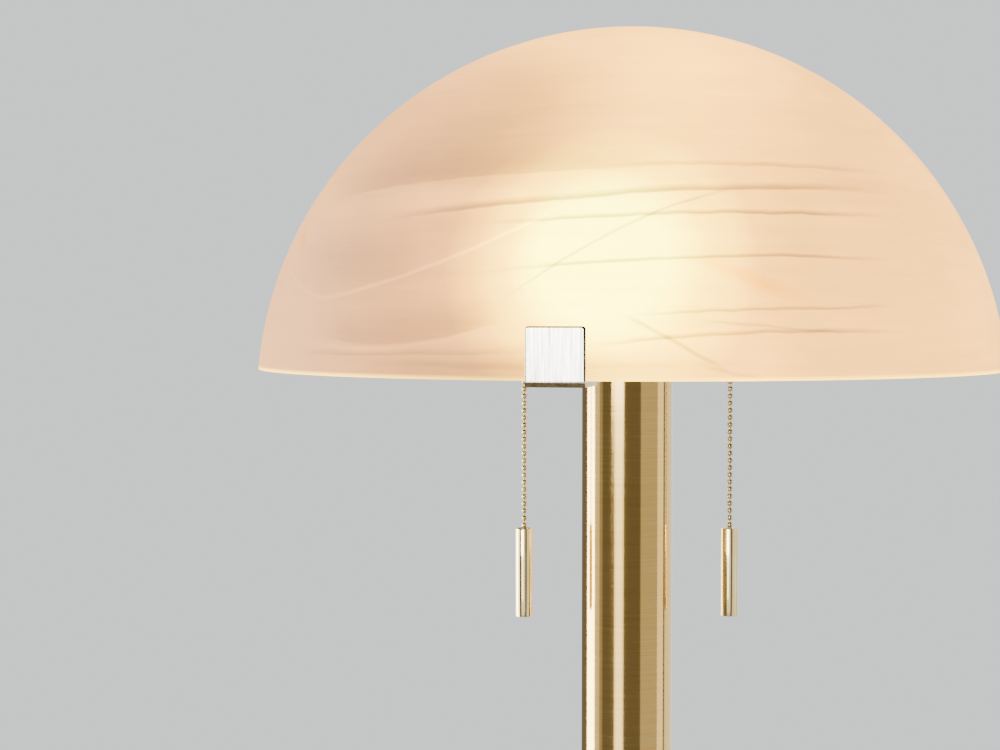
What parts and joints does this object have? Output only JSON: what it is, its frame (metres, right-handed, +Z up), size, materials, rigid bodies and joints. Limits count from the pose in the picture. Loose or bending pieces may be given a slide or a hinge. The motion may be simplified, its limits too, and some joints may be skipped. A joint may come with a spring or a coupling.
{
  "type": "floor lamp",
  "caption": "Floor lamp with a spherical alabaster-look glass dome open downwards, a thick brass column, a round weighted base and pull-chain switches.",
  "frame": {"origin": "on the floor, under the centre of the column", "axes": "+Z up; -Y is the front, the way one of the two bulbs points, with a shade holder tab 14 degrees beside it; +X is the lamp's right as seen from the front"},
  "size_m": [0.4043, 0.4048, 1.6],
  "materials": {
    "brass_satin": "satin, finely brushed around the column",
    "brass_polished": "polished",
    "brass_plain": "satin",
    "cast_iron": "rough, painted black",
    "steel": "zinc plated",
    "black_rubber": "matte",
    "clear_silicone": "translucent, soft",
    "alabaster_glass": "opal glass, veined like alabaster, glossy outside",
    "black_phenolic": "moulded",
    "fibre": "matte card",
    "lead_insulation": "satin",
    "connector_nylon": "satin",
    "bulb_metal": "nickel plated",
    "bulb_collar_white": "satin",
    "frosted_globe": "frosted"
  },
  "bodies": {
    "lamp": {"back_screw_shell": "brass_plain", "back_socket_cap": "brass_plain", "back_socket_shell": "brass_plain", "base_cover": "brass_satin", "base_fasteners": "steel", "base_foot_pad": "black_rubber", "base_weight": "cast_iron", "cluster_body": "brass_plain", "cluster_leads": "lead_insulation", "cluster_lid": "brass_plain", "cluster_nipples": "steel", "cluster_nuts": "brass_plain", "cluster_spacer": "brass_plain", "column_bottom_plug": "steel", "column_cap": "brass_satin", "column_foot_ring": "brass_satin", "column_joiner": "brass_satin", "column_lower_tube": "brass_satin", "column_upper_tube": "brass_satin", "cord_gland": "black_rubber", "drum_axles": "steel", "front_screw_shell": "brass_plain", "front_socket_cap": "brass_plain", "front_socket_shell": "brass_plain", "holder_fasteners": "brass_plain", "left_chain_bell": "brass_polished", "left_switch_housing": "black_phenolic", "pipe_coupling": "steel", "return_springs": "steel", "right_chain_bell": "brass_polished", "right_switch_housing": "black_phenolic", "shade_holder": "brass_satin", "shade_pads": "clear_silicone", "socket_blocks": "black_phenolic", "socket_contacts": "brass_plain", "socket_sleeves": "fibre", "switch_bar": "steel", "switch_lids": "black_phenolic", "switch_nozzles": "brass_plain", "terminal_screws": "brass_plain", "tie_pipe_lower": "steel", "tie_pipe_upper": "steel", "wire_connectors": "connector_nylon"},
    "shade": {"glass_shade": "alabaster_glass"},
    "front_bulb": {"front_bulb_cap": "bulb_metal", "front_bulb_collar": "bulb_collar_white", "front_bulb_globe": "frosted_globe"},
    "back_bulb": {"back_bulb_cap": "bulb_metal", "back_bulb_collar": "bulb_collar_white", "back_bulb_globe": "frosted_globe"},
    "left_chain_run": {"left_chain_upper": "brass_polished"},
    "left_chain_pivot": {"left_chain_pivot_bead": "brass_polished"},
    "left_hanging_chain": {"left_chain_lower": "brass_polished", "left_chain_pull": "brass_polished"},
    "left_drum": {"left_chain_drum": "brass_polished"},
    "right_chain_run": {"right_chain_upper": "brass_polished"},
    "right_chain_pivot": {"right_chain_pivot_bead": "brass_polished"},
    "right_hanging_chain": {"right_chain_lower": "brass_polished", "right_chain_pull": "brass_polished"},
    "right_drum": {"right_chain_drum": "brass_polished"}
  },
  "joints": [
    {"name": "shade_lift", "type": "slide", "parent": "lamp", "child": "shade", "axis": [0, 0, 1], "range_m": [0, 0.25]},
    {"name": "front_bulb_out", "type": "slide", "parent": "lamp", "child": "front_bulb", "axis": [0, -1, 0], "range_m": [0, 0.028]},
    {"name": "back_bulb_out", "type": "slide", "parent": "lamp", "child": "back_bulb", "axis": [0, 1, 0], "range_m": [0, 0.028]},
    {"name": "left_pull", "type": "slide", "parent": "lamp", "child": "left_chain_run", "axis": [0, 0, -1], "range_m": [0, 0.01], "stiffness_N_per_m": 600, "springref_m": -0.005},
    {"name": "left_swing_fore_aft", "type": "hinge", "parent": "left_chain_run", "child": "left_chain_pivot", "pos_m": [-0.057, 0, 1.43102], "axis": [1, 0, 0], "range_deg": [-14, 14]},
    {"name": "left_swing_sideways", "type": "hinge", "parent": "left_chain_pivot", "child": "left_hanging_chain", "pos_m": [-0.057, 0, 1.43102], "axis": [0, 1, 0], "range_deg": [-9.5, 14]},
    {"name": "left_drum_turn", "type": "hinge", "parent": "lamp", "child": "left_drum", "pos_m": [-0.0505, 0, 1.461], "axis": [0, -1, 0], "range_deg": [0, 100]},
    {"name": "right_pull", "type": "slide", "parent": "lamp", "child": "right_chain_run", "axis": [0, 0, -1], "range_m": [0, 0.01], "stiffness_N_per_m": 600, "springref_m": -0.005},
    {"name": "right_swing_fore_aft", "type": "hinge", "parent": "right_chain_run", "child": "right_chain_pivot", "pos_m": [0.057, 0, 1.43102], "axis": [1, 0, 0], "range_deg": [-14, 14]},
    {"name": "right_swing_sideways", "type": "hinge", "parent": "right_chain_pivot", "child": "right_hanging_chain", "pos_m": [0.057, 0, 1.43102], "axis": [0, 1, 0], "range_deg": [-14, 9.5]},
    {"name": "right_drum_turn", "type": "hinge", "parent": "lamp", "child": "right_drum", "pos_m": [0.0505, 0, 1.461], "axis": [0, 1, 0], "range_deg": [0, 100]}
  ],
  "couplings": [
    {"joint": "left_drum_turn", "follows": "left_pull", "rad_per_m": 153.85},
    {"joint": "right_drum_turn", "follows": "right_pull", "rad_per_m": 153.85}
  ]
}
